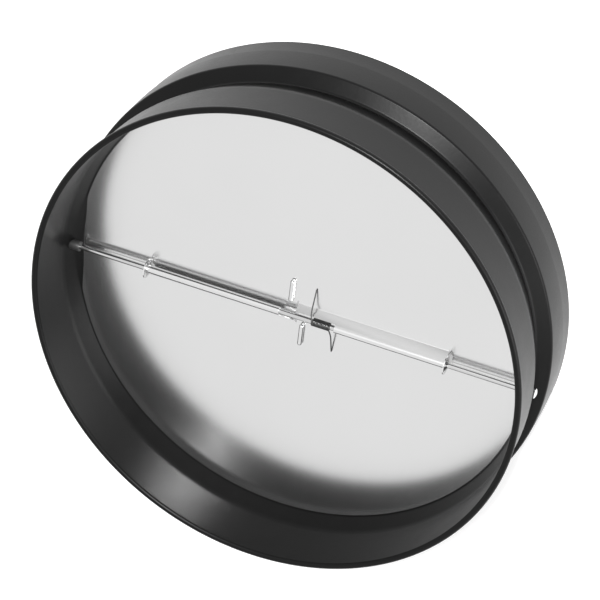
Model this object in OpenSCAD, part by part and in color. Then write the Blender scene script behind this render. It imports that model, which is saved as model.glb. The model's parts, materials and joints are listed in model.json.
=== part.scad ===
// Butterfly backdraft damper for a 12 inch round duct.
// Axis of the duct is Z, the downstream mouth is up, and the origin is the centre of the lower rim.
// The hinge rod lies along X. The upper blade is the one towards +Y, the lower one towards -Y.

/* [Collar] */
// Length of the collar along the duct
collar_len = 90; // [85:1:120]
// Outside radius of the downstream sleeve
sleeve_r = 149.4; // [148.8:0.1:150]
// Thickness of the collar's sheet
sheet_t = 1.5; // [1.2:0.1:1.8]
// Outside diameter of the rolled bead on the downstream rim
bead_d = 4; // [4:0.1:5]
// Outside radius of the upstream band
band_r = 152.5; // [151.8:0.1:153]
// Length of the upstream band, from its rim to its shoulder
band_len = 34.4; // [32:0.2:38]
// Length of the lead-in on the upstream rim
lead_len = 14; // [8:1:18]
// How far the lead-in narrows the upstream rim
lead_drop = 0.6; // [0.2:0.1:1.2]

/* [Blade seat] */
// Inside radius at the corner where the seat meets the band's shoulder
crest_r = 141.6; // [141:0.1:142.2]
// Length of the tapered seat above that corner
seat_len = 17.8; // [16:0.2:19]
// Height of that corner above the top of the band
shoulder_len = 3.8; // [3:0.2:5]

/* [Blades] */
// Thickness of a blade
blade_t = 0.8; // [0.6:0.1:1]
// Gap between a closed blade's edge and its seat
seat_gap = 0.4; // [0.35:0.05:0.6]
// Gap between the hinge end of a blade and a rod bush
trim_gap = 0.5; // [0.4:0.1:2]
// Seam between the two closed blades
seam = 1; // [0.6:0.1:2]

/* [Hinge] */
// Diameter of the hinge rod
rod_d = 3.2; // [3:0.1:3.6]
// Height of the rod's axis above the closed blades' downstream face
rod_rise = 4.8; // [4.6:0.1:5.4]
// Running clearance round the rod, on the radius
run_clear = 0.05; // [0.02:0.01:0.1]
// Length of a knuckle, from the middle of the rod
knuckle_len = 94.5; // [80:0.5:110]
// Distance from the rod to the fold where a knuckle leaves its blade
fold_reach = 6.2; // [6:0.1:8]
// Part of a turn that the knuckle wraps round the rod, in degrees
wrap_angle = 300; // [240:5:300]
// Outside diameter of the push nuts
nut_d = 12; // [10:0.2:13]
// Sheet thickness of a push nut
nut_t = 0.5; // [0.4:0.1:0.7]
// How far a push nut is dished
nut_dish = 1.2; // [0.8:0.1:1.6]
// Number of teeth in a push nut
nut_teeth = 8; // [6:1:12]

/* [Rod ends] */
// Diameter of the bush where it shows inside the collar
bush_d = 6.2; // [5.8:0.1:7.4]
// Length of bush that shows inside the collar
bush_len = 5.6; // [4:0.1:7]
// Diameter of the bush where it passes through the collar
bush_neck_d = 5; // [4.6:0.1:5.4]
// Diameter of the rod's riveted heads
head_d = 6; // [5.6:0.1:7]
// Height of the rod's riveted heads
head_h = 1.4; // [1:0.1:1.8]

/* [Spring] */
// Wire diameter of the torsion spring
wire_d = 0.8; // [0.6:0.1:0.9]
// Outside diameter of the spring's coil
coil_d = 5.2; // [5.1:0.1:5.6]
// Number of full turns in the coil
coil_turns = 13; // [8:1:14]
// Distance from the middle of the rod to the coil's first turn
coil_start = 11.9; // [10:0.1:14]
// Distance from the rod to the tip of a spring leg
leg_reach = 19.5; // [15:0.5:26]

/* [Stop pins] */
// Diameter of a stop pin
pin_d = 3; // [2.6:0.1:3.4]
// Length of a stop pin
pin_len = 15; // [10:0.5:20]
// Distance from the rod to the near end of a stop pin
pin_start = 6.6; // [6.4:0.1:9]
// Distance of a stop pin from the middle of the rod
pin_side = 4.3; // [4:0.1:8]

/* [Hidden] */
$fn = 96;
round_fn = 240;
eps = 0.01;

// Collar section, as the middle line of the sheet
half_t = sheet_t / 2;
shoulder_z = band_len;
crest_z = shoulder_z + shoulder_len;
seat_top_z = crest_z + seat_len;
sleeve_mid = sleeve_r - half_t;
crest_mid = crest_r + half_t;
band_mid = band_r - half_t;
sleeve_in = sleeve_r - sheet_t;
bead_mid_r = (bead_d - sheet_t) / 2;
bead_centre = [sleeve_in + bead_d / 2, collar_len - bead_d / 2];
bead_end_angle = -100;
bead_steps = 16;
shoulder_bend = 1.1;
crest_bend = 3;
seat_bend = 14;
lead_bend = 20;
rim_flat = 2;
bend_steps = 8;

// Blade place, worked out from the seat's taper
seat_slope = (sleeve_mid - crest_mid) / seat_len;
rod_above_crest = 11;
rod_z = crest_z + rod_above_crest;
face_z = rod_z - rod_rise;
back_z = face_z - blade_t;
seat_in_at_back = crest_r + (back_z - crest_z) * seat_slope;
blade_r = seat_in_at_back - seat_gap;

// Hinge
rod_r = rod_d / 2;
head_edge_share = 0.35;
roll_in = rod_r + run_clear;
roll_cut = 0.06;
roll_mid = roll_in + blade_t / 2 - roll_cut;
roll_steps = 36;
fold_bend = 1;
foot_len = 1.2;
knuckle_start = seam / 2;
foot_end = fold_reach + foot_len;
end_gap = 0.3;
nut_x = knuckle_len + end_gap;
tooth_slot = 0.8;
nut_rim = 1.2;
tooth_root = nut_d / 2 - nut_rim;
nut_clear = 0.4;
nut_room = nut_d / 2 + nut_clear;
nut_notch = sqrt(nut_room * nut_room - rod_rise * rod_rise);
nut_end_clear = 0.5;
nut_notch_end = nut_x + nut_dish + nut_t + nut_end_clear;

// Rod ends
wall_at_rod = crest_r + (rod_z - crest_z) * seat_slope;
bush_face_x = wall_at_rod - bush_len;
neck_past_wall = 1.6;
neck_end_x = wall_at_rod + sheet_t + neck_past_wall;
head_gap = 0.1;
neck_clear = 0.05;
wall_clear = 0.05;
trim_x = bush_face_x - trim_gap;

// Spring
coil_mid = (coil_d - wire_d) / 2;
leg_shift_part = 0.4;
turn_gap = 0.03;
coil_pitch = wire_d + turn_gap;
coil_end = coil_start + coil_turns * coil_pitch;
coil_steps = 14;
wire_sides = 8;
wire_lift = 0.05;
leg_steps = 10;
window_gap = 0.4;
leg_shift = 1.4;
leg_room = 1.8;
window_end = coil_end + leg_shift + leg_room;
lower_roll_start = 9;

// Stop pins
pin_flat = 0.2;

// Point on a circle
function on_circle(centre, r, a) = [centre[0] + r * cos(a), centre[1] + r * sin(a)];

// Unit vector from one point towards another
function unit(a, b) = (b - a) / norm(b - a);

// Turns a corner of a middle line into an arc of the given bend radius
function bend(before, corner, after, r) =
    let (u = unit(corner, before), v = unit(corner, after))
    let (half = acos(u * v) / 2, reach = r / tan(half))
    let (start = corner + u * reach, mid_dir = unit([0, 0], u + v))
    let (centre = corner + mid_dir * r / sin(half))
    let (a0 = atan2(start[1] - centre[1], start[0] - centre[0]))
    let (turn = 180 - 2 * half, side = sign(u[0] * v[1] - u[1] * v[0]))
    [for (i = [0 : bend_steps]) on_circle(centre, r, a0 - side * turn * i / bend_steps)];

// Middle line of the collar's sheet, from the upstream rim up to the rolled bead
function collar_line() =
    let (rim = [band_mid - lead_drop, 0], rim_top = [band_mid - lead_drop, rim_flat])
    let (lead = [band_mid, lead_len])
    let (shoulder = [band_mid, shoulder_z - half_t], crest = [crest_mid, crest_z])
    let (seat_top = [sleeve_mid, seat_top_z], top = [sleeve_mid, bead_centre[1]])
    concat(
        [rim, rim_top],
        bend(rim_top, lead, shoulder, lead_bend),
        bend(lead, shoulder, crest, shoulder_bend),
        bend(shoulder, crest, seat_top, crest_bend),
        bend(crest, seat_top, top, seat_bend),
        [for (i = [0 : bead_steps])
            on_circle(bead_centre, bead_mid_r, 180 + (bead_end_angle - 180) * i / bead_steps)]);

// Direction of a line of points at point i
function heading(line, i) =
    let (last = len(line) - 1)
    i == 0 ? unit(line[0], line[1])
    : i == last ? unit(line[last - 1], line[last])
    : unit([0, 0], unit(line[i - 1], line[i]) + unit(line[i], line[i + 1]));

// A line of points moved sideways, with its corners kept at full thickness
function beside(line, gap) =
    [for (i = [0 : len(line) - 1])
        let (h = heading(line, i))
        let (next = i < len(line) - 1 ? unit(line[i], line[i + 1]) : h)
        let (grow = gap / (h * next))
        line[i] + [h[1], -h[0]] * grow];

// Reverses a list
function back_to_front(list) = [for (i = [len(list) - 1 : -1 : 0]) list[i]];

// Section of the collar: the middle line thickened to the sheet
module collar_section() {
    line = collar_line();
    polygon(concat(beside(line, half_t), back_to_front(beside(line, -half_t))));
}

// Everything inside the collar's inner face, less a clearance
module inside_collar(clear) {
    line = collar_line();
    inner = beside(line, -half_t - clear);
    wall = [for (p = inner) if (p[1] > crest_z && p[1] < seat_top_z + seat_bend / 2) p];
    rotate_extrude($fn = round_fn)
        polygon(concat([[0, wall[0][1]]], wall, [[0, wall[len(wall) - 1][1]]]));
}

// Places children along the rod: their Z becomes the X axis of the rod, at either end
module along_rod(side = 1) {
    translate([0, 0, rod_z])
        rotate([0, 90 * side, 0])
            children();
}

// Pressed and rolled sheet sleeve with a seat for the blades and two holes for the rod's bushes
module collar() {
    color([0.12, 0.12, 0.13])
        difference() {
            rotate_extrude($fn = round_fn) collar_section();
            along_rod()
                cylinder(h = 2 * (band_r + bead_d), r = bush_neck_d / 2 + neck_clear, center = true);
        }
}

// Flat outline of a blade: a round segment that reaches under the other blade's knuckle
module blade_outline() {
    under_reach = fold_reach - seam;
    intersection() {
        circle(r = blade_r, $fn = round_fn);
        union() {
            translate([-trim_x, seam / 2]) square([2 * trim_x, blade_r]);
            translate([-knuckle_len, -under_reach])
                square([knuckle_len - seam / 2, under_reach + seam]);
        }
    }
}

// Cuts the blade back along its own knuckle, and round both push nuts
module knuckle_relief() {
    translate([-seam / 2, -foot_end])
        square([knuckle_len + seam / 2 + end_gap, 2 * foot_end]);
    for (from_x = [knuckle_len, -nut_notch_end])
        translate([from_x, -foot_end])
            square([nut_notch_end - knuckle_len, foot_end + nut_notch]);
}

// Middle line of a knuckle's sheet: in from the blade, up the sloping web and round the rod
function knuckle_line() =
    let (level = -rod_rise - blade_t / 2)
    let (foot = [foot_end, level], fold = [fold_reach, level])
    let (touch_angle = atan2(-fold[1], -fold[0]) - asin(roll_mid / norm(fold)) - 90)
    concat(
        [foot],
        bend(foot, fold, on_circle([0, 0], roll_mid, touch_angle), fold_bend),
        [for (i = [0 : roll_steps])
            on_circle([0, 0], roll_mid, touch_angle + wrap_angle * i / roll_steps)]);

// Section of a knuckle: its middle line thickened to the blade's sheet
module knuckle_section() {
    line = knuckle_line();
    polygon(concat(beside(line, blade_t / 2), back_to_front(beside(line, -blade_t / 2))));
}

// One blade, flat, with its knuckle along +X. The roll starts at roll_start.
module blade(roll_start) {
    difference() {
        union() {
            translate([0, 0, back_z])
                linear_extrude(blade_t)
                    difference() {
                        blade_outline();
                        knuckle_relief();
                    }
            knuckle_span(knuckle_start, knuckle_len) knuckle_section();
        }
        along_rod()
            cylinder(h = knuckle_len + 1, r = roll_in);
        along_rod()
            cylinder(h = roll_start, r = coil_d / 2 + window_gap);
    }
}

// Extrudes a section, drawn as Y and Z across the rod, from one X to another
module knuckle_span(from, to) {
    translate([from, 0, rod_z])
        rotate([90, 0, 90])
            linear_extrude(to - from)
                children();
}

// Blade towards +Y, whose roll is cut back for the spring
module upper_blade() {
    color([0.85, 0.86, 0.87]) blade(window_end);
}

// Blade towards -Y, the same stamping turned half round
module lower_blade() {
    color([0.85, 0.86, 0.87])
        rotate([0, 0, 180])
            blade(lower_roll_start);
}

// Polished rod, riveted over both bushes
module hinge_rod() {
    color([0.8, 0.8, 0.82]) {
        along_rod()
            cylinder(h = 2 * (neck_end_x + head_gap) + 2 * eps, r = rod_r, center = true);
        for (side = [-1, 1])
            along_rod(side)
                translate([0, 0, neck_end_x + head_gap])
                    rivet_head();
    }
}

// Domed head at one end of the rod
module rivet_head() {
    edge_h = head_h * head_edge_share;
    crown_r = ((head_d / 2) ^ 2 + (head_h - edge_h) ^ 2) / (2 * (head_h - edge_h));
    cylinder(h = edge_h, r = head_d / 2);
    intersection() {
        translate([0, 0, head_h - crown_r]) sphere(r = crown_r);
        translate([0, 0, edge_h - eps]) cylinder(h = head_h, r = head_d / 2);
    }
}

// Bush that carries one end of the rod in the collar
module bush(side) {
    color([0.07, 0.07, 0.07])
        difference() {
            union() {
                intersection() {
                    along_rod(side)
                        translate([0, 0, bush_face_x])
                            cylinder(h = 2 * bush_len, r = bush_d / 2);
                    inside_collar(wall_clear);
                }
                along_rod(side)
                    translate([0, 0, bush_face_x])
                        cylinder(h = neck_end_x - bush_face_x, r = bush_neck_d / 2);
            }
            along_rod(side)
                translate([0, 0, bush_face_x - 1])
                    cylinder(h = neck_end_x - bush_face_x + 2, r = rod_r + run_clear);
        }
}

module left_bush() { bush(-1); }
module right_bush() { bush(1); }

// Toothed push nut, a dished disc whose slots leave teeth that grip the rod
module push_nut(side) {
    color([0.7, 0.7, 0.72])
        along_rod(side)
            translate([0, 0, nut_x])
                difference() {
                    rotate_extrude() nut_section();
                    for (i = [0 : nut_teeth - 1])
                        rotate([0, 0, (i + 0.5) * 360 / nut_teeth])
                            translate([0, -tooth_slot / 2, -1])
                                cube([tooth_root, tooth_slot, nut_dish + nut_t + 2]);
                }
}

// Half section of a push nut: a flat rim and teeth that rise towards the rod
module nut_section() {
    grip = rod_r + run_clear;
    rim = nut_d / 2;
    polygon([[grip, nut_dish], [tooth_root, 0], [rim, 0], [rim, nut_t],
        [tooth_root, nut_t], [grip, nut_dish + nut_t]]);
}

module left_push_nut() { push_nut(-1); }
module right_push_nut() { push_nut(1); }

// Points of a spring leg, which shifts along the rod as it leaves the coil
function leg_line(from, to) =
    [for (i = [1 : leg_steps])
        let (part = i / leg_steps, shift = sin(90 * min(1, part / leg_shift_part)))
        [from[0] + (to[0] - from[0]) * shift,
            from[1] + (to[1] - from[1]) * part, from[2] + (to[2] - from[2]) * part]];

// Points of the spring's wire: one leg, the coil and the other leg
function spring_line() =
    let (tip_drop = wire_d / 2 + wire_lift - rod_rise)
    let (far = norm([leg_reach, tip_drop]))
    let (touch = 90 - (atan2(-tip_drop, leg_reach) + asin(coil_mid / far)))
    let (total = 360 * coil_turns + 180 - 2 * touch, steps = ceil(total / 360 * coil_steps))
    let (coil = [for (i = [0 : steps])
        let (a = touch + total * i / steps)
        [coil_start + coil_pitch * (a - touch) / 360, coil_mid * cos(a), coil_mid * sin(a)]])
    let (upper_leg = leg_line(coil[0], [coil_start - leg_shift, leg_reach, tip_drop]))
    let (lower_leg = leg_line(coil[steps], [coil_end + leg_shift, -leg_reach, tip_drop]))
    concat(back_to_front(upper_leg), coil, lower_leg);

// Ring of wire at point i of a line, square to the line
function wire_ring(line, i) =
    let (last = len(line) - 1)
    let (ahead = i < last ? unit(line[i], line[i + 1]) : unit(line[i - 1], line[i]))
    let (behind = i > 0 ? unit(line[i - 1], line[i]) : ahead)
    let (h = (ahead + behind) / norm(ahead + behind))
    let (u = cross(h, [1, 0, 0]) / norm(cross(h, [1, 0, 0])), v = cross(h, u))
    [for (k = [0 : wire_sides - 1])
        line[i] + (u * cos(360 * k / wire_sides) + v * sin(360 * k / wire_sides)) * wire_d / 2];

// Torsion spring round the rod, with a leg lying on each blade
module torsion_spring() {
    line = spring_line();
    rings = len(line);
    points = [for (i = [0 : rings - 1]) each wire_ring(line, i)];
    sides = [for (i = [0 : rings - 2], k = [0 : wire_sides - 1])
        let (n = (k + 1) % wire_sides)
        [i * wire_sides + k, i * wire_sides + n, (i + 1) * wire_sides + n, (i + 1) * wire_sides + k]];
    first = [for (k = [wire_sides - 1 : -1 : 0]) k];
    last = [for (k = [0 : wire_sides - 1]) (rings - 1) * wire_sides + k];
    color([0.15, 0.15, 0.16])
        translate([0, 0, rod_z])
            polyhedron(points, concat([first], sides, [last]));
}

// Round-ended pin lying on a blade, square to the rod, with a small flat where it is fixed
module stop_pin() {
    r = pin_d / 2;
    translate([-pin_side, pin_start + r, face_z + r - pin_flat])
        intersection() {
            rotate([-90, 0, 0]) {
                sphere(r = r);
                cylinder(h = pin_len - 2 * r, r = r);
                translate([0, 0, pin_len - 2 * r]) sphere(r = r);
            }
            translate([-r, -r, pin_flat - r]) cube([pin_d, pin_len, pin_d]);
        }
}

module upper_stop_pin() {
    color([0.85, 0.85, 0.87]) stop_pin();
}

module lower_stop_pin() {
    color([0.85, 0.85, 0.87]) rotate([0, 0, 180]) stop_pin();
}

collar();
upper_blade();
lower_blade();
hinge_rod();
torsion_spring();
left_bush();
right_bush();
left_push_nut();
right_push_nut();
upper_stop_pin();
lower_stop_pin();
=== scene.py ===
import json
import math

import bmesh
import bpy
from mathutils import Matrix, Vector


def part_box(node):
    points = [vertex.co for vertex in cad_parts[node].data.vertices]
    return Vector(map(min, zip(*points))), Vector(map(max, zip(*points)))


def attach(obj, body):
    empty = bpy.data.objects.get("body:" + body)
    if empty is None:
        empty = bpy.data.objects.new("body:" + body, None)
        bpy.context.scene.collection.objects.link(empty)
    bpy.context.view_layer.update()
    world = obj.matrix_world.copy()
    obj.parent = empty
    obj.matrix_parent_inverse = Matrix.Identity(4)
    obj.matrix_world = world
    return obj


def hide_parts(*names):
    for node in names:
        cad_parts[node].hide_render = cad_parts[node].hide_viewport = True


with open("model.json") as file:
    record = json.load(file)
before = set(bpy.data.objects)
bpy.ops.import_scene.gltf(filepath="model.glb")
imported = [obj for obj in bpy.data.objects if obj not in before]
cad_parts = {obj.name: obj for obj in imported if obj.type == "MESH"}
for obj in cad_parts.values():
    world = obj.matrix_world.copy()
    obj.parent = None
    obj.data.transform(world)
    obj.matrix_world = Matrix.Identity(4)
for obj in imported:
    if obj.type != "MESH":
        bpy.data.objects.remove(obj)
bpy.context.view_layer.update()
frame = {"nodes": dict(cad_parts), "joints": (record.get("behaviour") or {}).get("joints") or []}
scene = bpy.context.scene
scene.view_settings.view_transform = "Standard"
print("frame loaded:", len(frame["nodes"]), "nodes")

mm = 0.001
hingeZ = frame["joints"][0]["pos_m"][2]  # height of the rod's axis
collarLow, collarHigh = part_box("collar")
bladeLow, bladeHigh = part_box("upper_blade")
bladeSheetThickness = 0.8 * mm

# The camera stands above the downstream mouth and is rolled, so the rod runs down to the right.
cameraView = {
    "place": (0.3597, 0.7544, 1.0909),
    "right": (0.9171, 0.1002, -0.3859),
    "up": (-0.2943, 0.8231, -0.4857),
    "back": (0.2689, 0.5590, 0.7843),
    "lens": 137.2,
    "sensorWidth": 36.0,
}


def addCamera(settings):
    data = bpy.data.cameras.new("viewCamera")
    data.lens = settings["lens"]
    data.sensor_fit = "HORIZONTAL"
    data.sensor_width = settings["sensorWidth"]
    data.clip_end = 20
    camera = bpy.data.objects.new("viewCamera", data)
    turn = Matrix((settings["right"], settings["up"], settings["back"])).transposed()
    camera.matrix_world = Matrix.Translation(settings["place"]) @ turn.to_4x4()
    scene.collection.objects.link(camera)
    scene.camera = camera


addCamera(cameraView)
print("camera placed")


# A socket that can be used in a sum, so that a shader reads like its formula.
class Wire:
    def __init__(self, paint, socket):
        self.paint = paint
        self.socket = socket

    # Another output of the same node.
    def other(self, name):
        return Wire(self.paint, self.socket.node.outputs[name])

    def maths(self, operation, first, second):
        return self.paint.node("Math", {"operation": operation}, {0: first, 1: second})

    def __add__(self, other):
        return self.maths("ADD", self, other)

    def __mul__(self, other):
        return self.maths("MULTIPLY", self, other)

    def __sub__(self, other):
        return self.maths("SUBTRACT", self, other)

    def __rsub__(self, other):
        return self.maths("SUBTRACT", other, self)

    def __truediv__(self, other):
        return self.maths("DIVIDE", self, other)

    __radd__ = __add__
    __rmul__ = __mul__


# One material and the nodes that are added to it.
class Paint:
    def __init__(self, name):
        self.material = bpy.data.materials.new(name)
        self.material.use_nodes = True
        self.tree = self.material.node_tree
        self.tree.nodes.clear()

    def feed(self, value, socket):
        if isinstance(value, Wire):
            self.tree.links.new(value.socket, socket)
        elif value is not None:
            socket.default_value = value

    def node(self, kind, settings=None, values=None, output=0):
        made = self.tree.nodes.new("ShaderNode" + kind)
        for key, value in (settings or {}).items():
            if key == "stops":
                setStops(made.color_ramp, value)
            else:
                setattr(made, key, value)
        for key, value in (values or {}).items():
            self.feed(value, made.inputs[key])
        return Wire(self, made.outputs[output]) if made.outputs else None

    def place(self):
        return self.node("TexCoord", output="Object")

    def ramp(self, value, low, high):
        return self.node("MapRange", {}, {"Value": value, "From Min": low, "From Max": high})

    def noise(self, vector, scale, detail=2.0, roughness=0.5):
        values = {"Vector": vector, "Scale": scale, "Detail": detail, "Roughness": roughness}
        return self.node("TexNoise", {}, values, "Fac")

    def bump(self, height, distance, strength=1.0, normal=None):
        values = {"Height": height, "Distance": distance, "Strength": strength, "Normal": normal}
        return self.node("Bump", {}, values, "Normal")

    def finish(self, values):
        shader = self.node("BsdfPrincipled", {}, values)
        self.node("OutputMaterial", {}, {"Surface": shader})
        return self.material


def setStops(ramp, stops):
    while len(ramp.elements) > 1:
        ramp.elements.remove(ramp.elements[-1])
    for i, (at, level) in enumerate(stops):
        stop = ramp.elements[0] if i == 0 else ramp.elements.new(at)
        stop.position = at
        stop.color = (level, level, level, 1)


def grey(level, tint=0.0):
    return (level * (1 - tint), level, level * (1 + tint), 1)


# Black satin coat, with the faint lines that run along the duct.
def makeCollarCoat():
    look = {"level": 0.004, "shine": 0.34, "mirror": 0.13, "streakPerRadius": 95.0, "streakStretch": 9.0}
    paint = Paint("collarCoat")
    spot = paint.place()
    split = paint.node("SeparateXYZ", {}, {0: spot})
    height = split.other("Z")
    flat = paint.node("VectorMath", {"operation": "MULTIPLY"}, {0: spot, 1: (1, 1, 0)})
    around = paint.node("VectorMath", {"operation": "NORMALIZE"}, {0: flat})
    lift = paint.node("CombineXYZ", {}, {"Z": height * look["streakStretch"]})
    streakSpot = paint.node("VectorMath", {"operation": "ADD"}, {0: around, 1: lift})
    fine = paint.noise(streakSpot, look["streakPerRadius"], 3.0, 0.6)
    broad = paint.noise(streakSpot, look["streakPerRadius"] * 0.12, 2.0)
    grain = paint.noise(spot, 2600.0, 2.0)
    rough = look["shine"] + (fine - 0.5) * 0.10 + (broad - 0.5) * 0.08
    lines = paint.bump(fine, 0.00006, 0.5)
    skin = paint.bump(grain, 0.00002, 0.35, lines)
    colour = paint.node("Mix", {"data_type": "RGBA"}, {
        0: broad, 6: grey(look["level"] * 0.85), 7: grey(look["level"] * 1.15)}, 2)
    return paint.finish({"Base Color": colour, "Roughness": rough, "Normal": skin,
                         "Specular IOR Level": look["mirror"]})


# Satin sheet with a faint rolling grain across the rod.
def makeBladeSheet():
    look = {"level": 0.735, "shine": 0.2}
    paint = Paint("bladeSheet")
    spot = paint.place()
    stretched = paint.node("Mapping", {}, {"Vector": spot, "Scale": (1.0, 0.03, 1.0)})
    grain = paint.noise(stretched, 2400.0, 3.0, 0.65)
    cloud = paint.noise(spot, 14.0, 2.0)
    rough = look["shine"] + (grain - 0.5) * 0.05 + (cloud - 0.5) * 0.03
    lines = paint.bump(grain, 0.000004, 0.4)
    colour = paint.node("Mix", {"data_type": "RGBA"}, {
        0: cloud, 6: grey(look["level"] - 0.015), 7: grey(look["level"] + 0.015)}, 2)
    return paint.finish({"Base Color": colour, "Metallic": 1.0, "Roughness": rough, "Normal": lines})


# Bright steel with drawing lines along X, for the rod, the pins and the push nuts.
def makeBrightSteel(name, level, shine, lineScale):
    paint = Paint(name)
    spot = paint.place()
    stretched = paint.node("Mapping", {}, {"Vector": spot, "Scale": (0.02, 1.0, 1.0)})
    lines = paint.noise(stretched, lineScale, 2.0, 0.6)
    rough = shine + (lines - 0.5) * 0.08
    scratch = paint.bump(lines, 0.000003, 0.5)
    colour = paint.node("Mix", {"data_type": "RGBA"}, {
        0: lines, 6: grey(level * 0.94), 7: grey(level * 1.04)}, 2)
    return paint.finish({"Base Color": colour, "Metallic": 1.0, "Roughness": rough, "Normal": scratch})


def makeBushPlastic():
    paint = Paint("bushPlastic")
    grain = paint.noise(paint.place(), 1800.0, 3.0)
    rough = 0.5 + (grain - 0.5) * 0.15
    return paint.finish({"Base Color": grey(0.02), "Roughness": rough,
                         "Normal": paint.bump(grain, 0.00002, 0.4)})


collarCoat = makeCollarCoat()
bladeSheet = makeBladeSheet()
rodSteel = makeBrightSteel("rodSteel", 0.62, 0.14, 3000.0)
pinSteel = makeBrightSteel("pinSteel", 0.74, 0.1, 2500.0)
nutSteel = makeBrightSteel("nutSteel", 0.8, 0.2, 2000.0)
springSteel = makeBrightSteel("springSteel", 0.1, 0.3, 3000.0)
bushPlastic = makeBushPlastic()
print("materials made")


# Links a finished mesh as a piece of the object.
def addPiece(name, mesh, material, body, replaced):
    piece = bpy.data.objects.new(name, mesh)
    scene.collection.objects.link(piece)
    mesh.materials.clear()
    mesh.materials.append(material)
    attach(piece, body)
    if replaced:
        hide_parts(replaced)
    return piece


# Runs an object's modifiers and gives the result as a plain mesh.
def bakedMesh(piece, name):
    bpy.context.view_layer.update()
    evaluated = piece.evaluated_get(bpy.context.evaluated_depsgraph_get())
    mesh = bpy.data.meshes.new_from_object(evaluated)
    mesh.name = name
    bpy.data.objects.remove(piece)
    return mesh


def looseObject(name, mesh):
    made = bpy.data.objects.new(name, mesh)
    scene.collection.objects.link(made)
    return made


# Smooth faces, with the edges sharper than this many degrees kept.
def smoothByAngle(mesh, degrees):
    for polygon in mesh.polygons:
        polygon.use_smooth = True
    mesh.set_sharp_from_angle(angle=math.radians(degrees))


def onCircle(centre, radius, degrees):
    turn = math.radians(degrees)
    return Vector((centre[0] + radius * math.cos(turn), centre[1] + radius * math.sin(turn)))


# Turns the corner of a line into an arc.
def bend(before, corner, after, radius, steps):
    u = (before - corner).normalized()
    v = (after - corner).normalized()
    half = math.acos(max(-1, min(1, u.dot(v)))) / 2
    centre = corner + (u + v).normalized() * (radius / math.sin(half))
    start = corner + u * (radius / math.tan(half)) - centre
    side = 1 if u.x * v.y - u.y * v.x > 0 else -1
    turn = -side * (math.pi - 2 * half)
    return [centre + Matrix.Rotation(turn * i / steps, 2) @ start for i in range(steps + 1)]


# A line moved sideways, with its corners kept at full thickness.
def beside(line, gap):
    moved = []
    for i, point in enumerate(line):
        ahead = (line[i + 1] - point).normalized() if i < len(line) - 1 else None
        behind = (point - line[i - 1]).normalized() if i else ahead
        ahead = ahead or behind
        heading = (ahead + behind).normalized()
        moved.append(point + Vector((heading.y, -heading.x)) * (gap / heading.dot(ahead)))
    return moved


def sheetSection(line, thickness):
    return beside(line, thickness / 2) + beside(line, -thickness / 2)[::-1]


collar = {
    "length": collarHigh.z,
    "sheet": 1.5 * mm,
    "sleeveRadius": 149.4 * mm,
    "bandRadius": 152.5 * mm,
    "beadDiameter": 4 * mm,
    "beadEndAngle": -100,
    "bandLength": 34.4 * mm,
    "leadLength": 14 * mm,
    "leadDrop": 0.6 * mm,
    "rimFlat": 2 * mm,
    "crestRadius": 141.6 * mm,
    "crestRise": 3.8 * mm,
    "seatLength": 17.8 * mm,
    "shoulderBend": 1.1 * mm,
    "crestBend": 3 * mm,
    "seatBend": 14 * mm,
    "leadBend": 20 * mm,
    "holeRadius": 2.55 * mm,
    "steps": 360,
}


def collarLine(c):
    half = c["sheet"] / 2
    band = c["bandRadius"] - half
    crestZ = c["bandLength"] + c["crestRise"]
    rim = Vector((band - c["leadDrop"], 0))
    rimTop = Vector((band - c["leadDrop"], c["rimFlat"]))
    lead = Vector((band, c["leadLength"]))
    shoulder = Vector((band, c["bandLength"] - half))
    crest = Vector((c["crestRadius"] + half, crestZ))
    seatTop = Vector((c["sleeveRadius"] - half, crestZ + c["seatLength"]))
    beadRadius = (c["beadDiameter"] - c["sheet"]) / 2
    beadCentre = Vector((c["sleeveRadius"] - c["sheet"] + c["beadDiameter"] / 2,
                         c["length"] - c["beadDiameter"] / 2))
    top = Vector((seatTop.x, beadCentre.y))
    beadTurns = [180 + (c["beadEndAngle"] - 180) * i / 28 for i in range(29)]
    return ([rim, rimTop]
            + bend(rimTop, lead, shoulder, c["leadBend"], 4)
            + bend(lead, shoulder, crest, c["shoulderBend"], 8)
            + bend(shoulder, crest, seatTop, c["crestBend"], 12)
            + bend(crest, seatTop, top, c["seatBend"], 10)
            + [onCircle(beadCentre, beadRadius, a) for a in beadTurns])


# A closed section, drawn as radius and height, turned round the duct's axis.
def turned(section, steps, name):
    vertices = []
    for step in range(steps):
        angle = 2 * math.pi * step / steps
        vertices += [(p.x * math.cos(angle), p.x * math.sin(angle), p.y) for p in section]
    count = len(section)
    faces = []
    for step in range(steps):
        here, there = step * count, (step + 1) % steps * count
        for i in range(count):
            j = (i + 1) % count
            faces.append((here + i, there + i, there + j, here + j))
    mesh = bpy.data.meshes.new(name)
    mesh.from_pydata(vertices, [], faces)
    mesh.validate()
    return mesh


# Blender's own solver cuts the two holes that the bushes pass through.
def cutHoles(mesh, radius, reach, name):
    shaft = bmesh.new()
    turn = Matrix.Translation((0, 0, hingeZ)) @ Matrix.Rotation(math.pi / 2, 4, "Y")
    bmesh.ops.create_cone(shaft, cap_ends=True, segments=64, radius1=radius, radius2=radius,
                          depth=2 * reach, matrix=turn)
    cutterMesh = bpy.data.meshes.new("holeCutter")
    shaft.to_mesh(cutterMesh)
    shaft.free()
    cutter = looseObject("holeCutter", cutterMesh)
    whole = looseObject(name, mesh)
    cut = whole.modifiers.new("holes", "BOOLEAN")
    cut.operation = "DIFFERENCE"
    cut.solver = "EXACT"
    cut.object = cutter
    result = bakedMesh(whole, name)
    bpy.data.objects.remove(cutter)
    return result


def facesOutwards(mesh):
    shape = bmesh.new()
    shape.from_mesh(mesh)
    bmesh.ops.recalc_face_normals(shape, faces=shape.faces)
    shape.to_mesh(mesh)
    shape.free()


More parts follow.
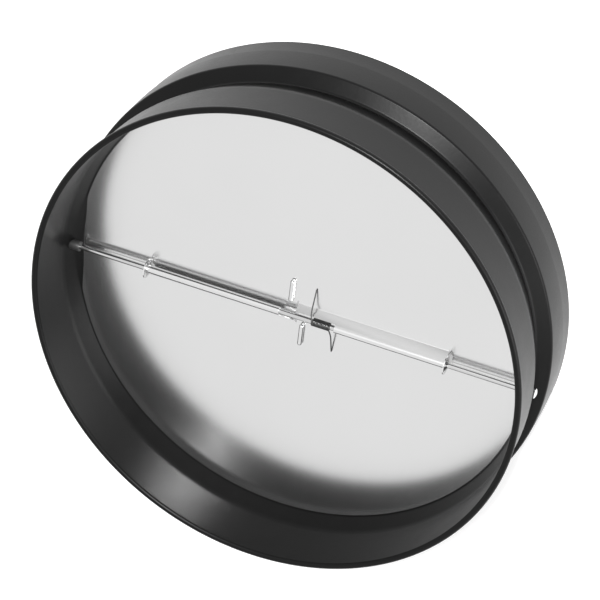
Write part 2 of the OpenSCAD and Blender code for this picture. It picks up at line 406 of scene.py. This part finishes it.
def makeCollar(c):
    mesh = turned(sheetSection(collarLine(c), c["sheet"]), c["steps"], "collarShell")
    facesOutwards(mesh)
    mesh = cutHoles(mesh, c["holeRadius"], collarHigh.x + 0.01, "collarShell")
    smoothByAngle(mesh, 32)
    return addPiece("collarShell", mesh, collarCoat, "collar_body", "collar")


makeCollar(collar)
print("collar made")


# The CAD solid's own shape, with its triangles merged, its edges eased and its rounds made smooth.
def easedCopy(node, name, edge, degrees):
    shape = bmesh.new()
    shape.from_mesh(frame["nodes"][node].data)
    bmesh.ops.remove_doubles(shape, verts=shape.verts, dist=1e-6)
    bmesh.ops.dissolve_limit(shape, angle_limit=math.radians(0.7), verts=shape.verts,
                             edges=shape.edges)
    mesh = bpy.data.meshes.new(name)
    shape.to_mesh(mesh)
    shape.free()
    if edge:
        loose = looseObject(name, mesh)
        ease = loose.modifiers.new("edges", "BEVEL")
        ease.width = edge
        ease.segments = 2
        ease.limit_method = "ANGLE"
        ease.angle_limit = math.radians(40)
        mesh = bakedMesh(loose, name)
    smoothByAngle(mesh, degrees)
    return mesh


easedPieces = [
    # name, node, eased edge, smooth angle, material, body, slot
    ("upperBladeSheet", "upper_blade", 0, 30, bladeSheet, "upper_flap", "blade_sheet"),
    ("lowerBladeSheet", "lower_blade", 0, 30, bladeSheet, "lower_flap", "blade_sheet"),
    ("hingeBar", "hinge_rod", 0, 40, rodSteel, "collar_body", "rod_steel"),
    ("leftRodBush", "left_bush", 0.2 * mm, 40, bushPlastic, "collar_body", "bush_plastic"),
    ("rightRodBush", "right_bush", 0.2 * mm, 40, bushPlastic, "collar_body", "bush_plastic"),
    ("upperPin", "upper_stop_pin", 0, 40, pinSteel, "upper_flap", "pin_steel"),
    ("lowerPin", "lower_stop_pin", 0, 40, pinSteel, "lower_flap", "pin_steel"),
]
for name, node, edge, degrees, material, body, slot in easedPieces:
    addPiece(name, easedCopy(node, name, edge, degrees), material, body, node)
print("sheet and bar pieces made")


# One Geometry Nodes tree, with its named inputs and the nodes that are added to it.
class ShapeTree:
    def __init__(self, name, sizes):
        self.tree = bpy.data.node_groups.new(name, "GeometryNodeTree")
        self.tree.interface.new_socket("Geometry", in_out="INPUT", socket_type="NodeSocketGeometry")
        self.tree.interface.new_socket("Geometry", in_out="OUTPUT", socket_type="NodeSocketGeometry")
        self.sizes = sizes
        self.sockets = {}
        for size, value in sizes.items():
            kind = "NodeSocketInt" if isinstance(value, int) else "NodeSocketFloat"
            made = self.tree.interface.new_socket(size, in_out="INPUT", socket_type=kind)
            self.sockets[size] = made.identifier
        self.given = self.tree.nodes.new("NodeGroupInput")

    def size(self, name):
        return self.given.outputs[name]

    def node(self, kind, settings=None, values=None, output=0):
        made = self.tree.nodes.new(kind)
        for key, value in (settings or {}).items():
            setattr(made, key, value)
        for key, value in (values or {}).items():
            many = value if isinstance(value, list) else [value]
            for one in many:
                if isinstance(one, bpy.types.NodeSocket):
                    self.tree.links.new(one, made.inputs[key])
                else:
                    made.inputs[key].default_value = one
        return made.outputs[output]

    # Ends the tree, runs it on a base mesh and gives the plain result.
    def mesh(self, shape, base, material, name):
        solid = self.node("GeometryNodeRealizeInstances", {}, {0: shape})
        coated = self.node("GeometryNodeSetMaterial", {}, {0: solid, "Material": material})
        end = self.tree.nodes.new("NodeGroupOutput")
        self.tree.links.new(coated, end.inputs[0])
        loose = looseObject(name, base)
        run = loose.modifiers.new("shape", "NODES")
        run.node_group = self.tree
        for size, value in self.sizes.items():
            run[self.sockets[size]] = value
        return bakedMesh(loose, name)


def pathMesh(points, name):
    mesh = bpy.data.meshes.new(name)
    mesh.from_pydata(points, [(i, i + 1) for i in range(len(points) - 1)], [])
    return mesh


spring = {
    "wire": 0.8 * mm,
    "outside": 5.2 * mm,
    "turns": 13,
    "start": 11.9 * mm,
    "pitch": 0.83 * mm,
    "legShift": 1.4 * mm,
    "legReach": 19.5 * mm,
    "legLift": 0.05 * mm,
    "legSteps": 24,
    "stepsPerTurn": 28,
    "wireSides": 12,
}
bladeFace = bladeLow.z + bladeSheetThickness  # downstream face of the closed blades


# A round wire along a path, closed at both ends.
def wireAlong(points, sizes, name):
    tree = ShapeTree(name + "Tree", {"Wire radius": sizes["wire"] / 2, "Sides": sizes["wireSides"]})
    curve = tree.node("GeometryNodeMeshToCurve", {}, {0: tree.size("Geometry")})
    ring = tree.node("GeometryNodeCurvePrimitiveCircle", {}, {
        "Resolution": tree.size("Sides"), "Radius": tree.size("Wire radius")})
    swept = tree.node("GeometryNodeCurveToMesh", {}, {
        "Curve": curve, "Profile Curve": ring, "Fill Caps": True})
    mesh = tree.mesh(swept, pathMesh(points, name), springSteel, name)
    smoothByAngle(mesh, 50)
    return mesh


def makeSpring(s):
    middle = (s["outside"] - s["wire"]) / 2
    drop = bladeFace + s["wire"] / 2 + s["legLift"] - hingeZ
    far = math.hypot(s["legReach"], drop)
    touch = math.pi / 2 - math.atan2(-drop, s["legReach"]) - math.asin(middle / far)
    total = 2 * math.pi * s["turns"] + math.pi - 2 * touch
    steps = math.ceil(total / (2 * math.pi) * s["stepsPerTurn"])
    coil = []
    for i in range(steps + 1):
        angle = touch + total * i / steps
        along = s["start"] + s["pitch"] * (angle - touch) / (2 * math.pi)
        coil.append(Vector((along, middle * math.cos(angle), hingeZ + middle * math.sin(angle))))
    coilEnd = s["start"] + s["turns"] * s["pitch"]
    upperTip = Vector((s["start"] - s["legShift"], s["legReach"], hingeZ + drop))
    lowerTip = Vector((coilEnd + s["legShift"], -s["legReach"], hingeZ + drop))
    addPiece("springCoil", wireAlong(coil, s, "springCoil"), springSteel,
             "collar_body", "torsion_spring")
    for name, root, tip, body in (("upperSpringLeg", coil[0], upperTip, "upper_flap"),
                                  ("lowerSpringLeg", coil[-1], lowerTip, "lower_flap")):
        leg = [legPoint(root, tip, i / s["legSteps"]) for i in range(s["legSteps"] + 1)]
        addPiece(name, wireAlong(leg, s, name), springSteel, body, None)


# A leg shifts along the rod as it leaves the coil.
def legPoint(root, tip, part):
    point = root.lerp(tip, part)
    point.x = root.x + (tip.x - root.x) * math.sin(math.pi / 2 * min(1, part / 0.4))
    return point


makeSpring(spring)
print("spring made")


pushNut = {
    "outside": 6 * mm,
    "toothRoot": 4.8 * mm,
    "grip": 1.65 * mm,
    "sheet": 0.5 * mm,
    "dish": 1.2 * mm,
    "slot": 0.8 * mm,
    "teeth": 8,
    "place": 94.8 * mm,
}


# One tooth: a wedge that rises from the rim to the rod.
def toothMesh(n):
    half = math.pi / n["teeth"]
    vertices = []
    for lift in (0, n["sheet"]):
        for radius, rise in ((n["toothRoot"] + 0.2 * mm, 0), (n["grip"], n["dish"])):
            wide = radius * math.tan(half) - n["slot"] / 2
            wide = max(wide, 0.22 * mm)
            vertices += [(radius, -wide, rise + lift), (radius, wide, rise + lift)]
    faces = [(0, 2, 3, 1), (4, 5, 7, 6), (0, 1, 5, 4), (2, 6, 7, 3), (0, 4, 6, 2), (1, 3, 7, 5)]
    mesh = bpy.data.meshes.new("nutTooth")
    mesh.from_pydata(vertices, [], faces)
    facesOutwards(mesh)
    return mesh


def makePushNut(n, side, name, node):
    tree = ShapeTree(name + "Tree", {
        "Rim radius": (n["outside"] + n["toothRoot"]) / 2,
        "Rim width": n["outside"] - n["toothRoot"],
        "Sheet": n["sheet"],
        "Teeth": n["teeth"],
    })
    tooth = looseObject("nutTooth", toothMesh(n))
    toothShape = tree.node("GeometryNodeObjectInfo", {}, {"Object": tooth}, "Geometry")
    points = tree.node("GeometryNodePoints", {}, {"Count": tree.size("Teeth")})
    index = tree.node("GeometryNodeInputIndex")
    share = tree.node("ShaderNodeMath", {"operation": "DIVIDE"}, {0: index, 1: tree.size("Teeth")})
    angle = tree.node("ShaderNodeMath", {"operation": "MULTIPLY"}, {0: share, 1: 2 * math.pi})
    turn = tree.node("ShaderNodeCombineXYZ", {}, {"Z": angle})
    teeth = tree.node("GeometryNodeInstanceOnPoints", {}, {
        "Points": points, "Instance": toothShape, "Rotation": turn})
    circle = tree.node("GeometryNodeCurvePrimitiveCircle", {}, {
        "Resolution": 96, "Radius": tree.size("Rim radius")})
    section = tree.node("GeometryNodeCurvePrimitiveQuadrilateral", {}, {
        "Width": tree.size("Rim width"), "Height": tree.size("Sheet")})
    rim = tree.node("GeometryNodeCurveToMesh", {}, {"Curve": circle, "Profile Curve": section})
    half = tree.node("ShaderNodeMath", {"operation": "MULTIPLY"}, {0: tree.size("Sheet"), 1: 0.5})
    lift = tree.node("ShaderNodeCombineXYZ", {}, {"Z": half})
    raised = tree.node("GeometryNodeTransform", {}, {"Geometry": rim, "Translation": lift})
    joined = tree.node("GeometryNodeJoinGeometry", {}, {0: [raised, teeth]})
    mesh = tree.mesh(joined, bpy.data.meshes.new(name), nutSteel, name)
    bpy.data.objects.remove(tooth)
    mesh.transform(Matrix.Translation((side * n["place"], 0, hingeZ))
                   @ Matrix.Rotation(side * math.pi / 2, 4, "Y"))
    smoothByAngle(mesh, 40)
    addPiece(name, mesh, nutSteel, "collar_body", node)


makePushNut(pushNut, -1, "leftPushNut", "left_push_nut")
makePushNut(pushNut, 1, "rightPushNut", "right_push_nut")
print("push nuts made")


studio = {
    "floorSize": 8.0,
    "floorLevel": 0.8,
    "floorGlow": 0.42,
    "worldLevel": 0.4,
    "keyAzimuth": 73.0,
    "keyRise": 52.0,
    "keyDistance": 1.5,
    "keySize": 0.16,
    "keyPower": 30.0,
    "sideAzimuth": 5.0,
    "sideRise": 28.0,
    "sideDistance": 1.3,
    "sideSize": 0.8,
    "sidePower": 11.0,
}


# 1 for what the camera sees straight on, in metal or through glass, and 0 for soft light.
def seenRays(paint):
    path = paint.tree.nodes.new("ShaderNodeLightPath")
    camera = Wire(paint, path.outputs["Is Camera Ray"])
    glossy = Wire(paint, path.outputs["Is Glossy Ray"])
    through = Wire(paint, path.outputs["Is Transmission Ray"])
    seen = camera.maths("MAXIMUM", camera, glossy)
    return seen.maths("MAXIMUM", seen, through)


def addFloor(s):
    mesh = bpy.data.meshes.new("studioFloor")
    half = s["floorSize"] / 2
    corners = [(-half, -half, 0), (half, -half, 0), (half, half, 0), (-half, half, 0)]
    mesh.from_pydata([(x, y, collarLow.z) for x, y, _ in corners], [], [(0, 1, 2, 3)])
    floor = looseObject("studioFloor", mesh)
    paint = Paint("studioFloor")
    seen = seenRays(paint)
    material = paint.finish({"Base Color": grey(s["floorLevel"]), "Roughness": 0.9,
                             "Emission Color": grey(1.0), "Emission Strength": seen * s["floorGlow"]})
    mesh.materials.append(material)


def addWorld(s):
    world = bpy.data.worlds.new("studioWorld")
    scene.world = world
    world.use_nodes = True
    paint = Paint.__new__(Paint)
    paint.tree = world.node_tree
    paint.tree.nodes.clear()
    seen = seenRays(paint)
    level = s["worldLevel"] + seen * (1 - s["worldLevel"])
    light = paint.node("Background", {}, {"Color": grey(1.0), "Strength": level})
    paint.node("OutputWorld", {}, {"Surface": light})


def addLamp(name, azimuth, rise, distance, size, power):
    data = bpy.data.lights.new(name, "AREA")
    data.shape = "SQUARE"
    data.size = size
    data.energy = power
    lamp = bpy.data.objects.new(name, data)
    a, e = math.radians(azimuth), math.radians(rise)
    away = Vector((math.cos(a) * math.cos(e), math.sin(a) * math.cos(e), math.sin(e)))
    lamp.matrix_world = (Matrix.Translation(Vector((0, 0, hingeZ)) + away * distance)
                         @ away.to_track_quat("Z", "Y").to_matrix().to_4x4())
    scene.collection.objects.link(lamp)


addFloor(studio)
addWorld(studio)
for lampName in ("key", "side"):
    addLamp(lampName + "Lamp", studio[lampName + "Azimuth"], studio[lampName + "Rise"],
            studio[lampName + "Distance"], studio[lampName + "Size"], studio[lampName + "Power"])
print("studio made")
